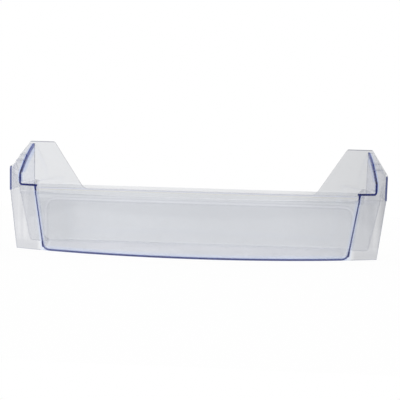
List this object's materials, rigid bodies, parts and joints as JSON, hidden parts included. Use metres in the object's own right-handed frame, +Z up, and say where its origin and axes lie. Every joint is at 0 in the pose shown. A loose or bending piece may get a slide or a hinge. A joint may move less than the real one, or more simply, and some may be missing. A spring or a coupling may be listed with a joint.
{
  "type": "fridge door shelf",
  "caption": "Clear fridge door shelf: a bowed open-top bin with tall angled wings at its rear ends and a hooded pocket at each end that drops over the door's supports.",
  "frame": {"origin": "centre of the bounding box on the plane the floor stands on", "axes": "+X along the shelf, to the right seen from its bowed front, +Y from the front towards the door, +Z up"},
  "size_m": [0.487, 0.113, 0.132],
  "materials": {
    "clear_plastic": "clear moulded plastic with a faint blue tint that shows in the wall edges"
  },
  "bodies": {
    "root": {"door_shelf": "clear_plastic"}
  },
  "joints": []
}
